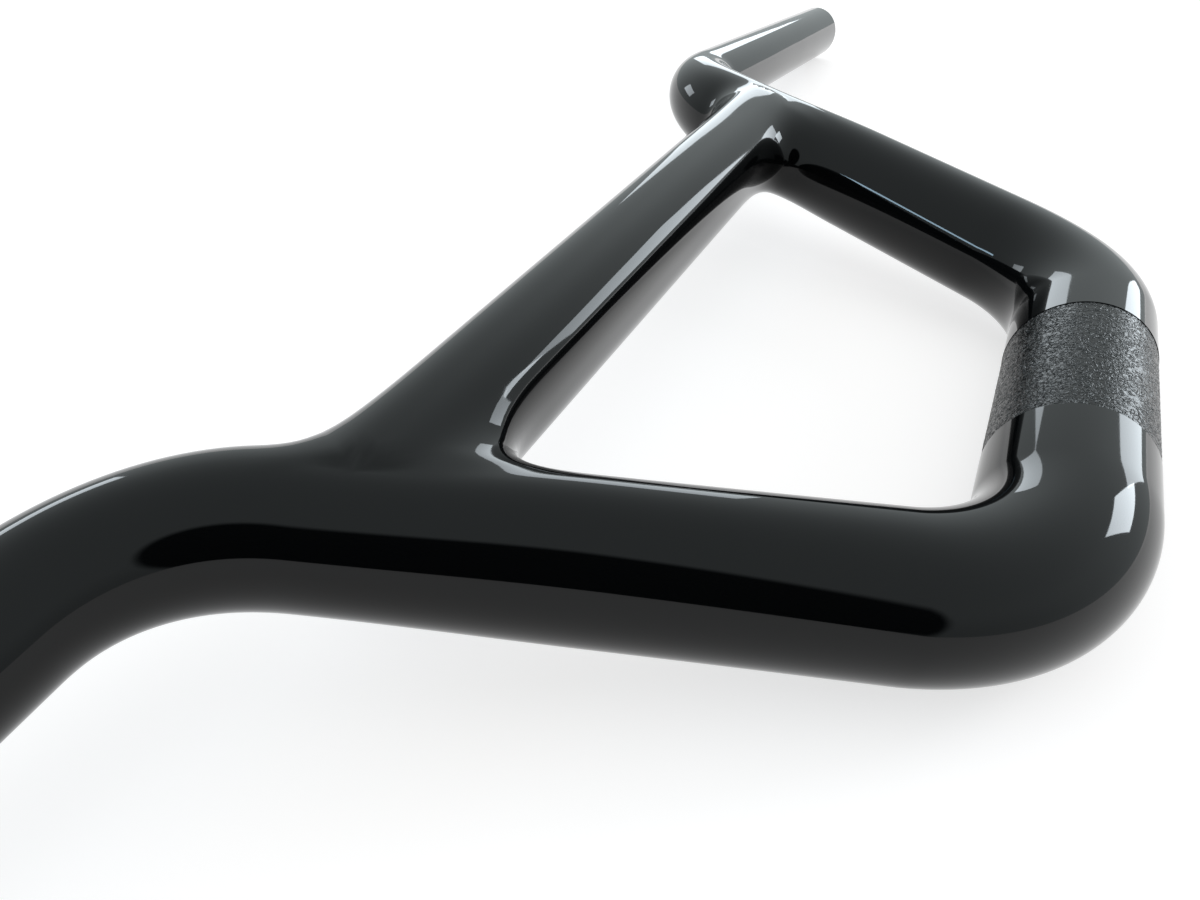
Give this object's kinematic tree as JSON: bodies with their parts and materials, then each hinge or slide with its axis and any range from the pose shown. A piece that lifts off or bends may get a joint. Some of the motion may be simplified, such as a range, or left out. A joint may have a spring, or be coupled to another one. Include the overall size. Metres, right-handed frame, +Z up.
{
  "type": "bmx handlebar",
  "caption": "Moulded gloss-black BMX handlebar: clamp straight with a grit band, raised uprights, a crossbar blended into them, and swept-back open grip ends. It lies flat.",
  "frame": {"origin": "middle of the stem clamp, on the clamp's axis", "axes": "+X along the clamp's axis, +Y along the ground towards the grips, +Z up from the ground that the bar lies on"},
  "size_m": [0.68, 0.1624, 0.0417],
  "materials": {
    "gloss_black": "piano-black clear coat",
    "grit": "fine sprayed grit"
  },
  "bodies": {
    "root": {"handlebar": "gloss_black", "clamp_grit_band": "grit"}
  },
  "joints": []
}
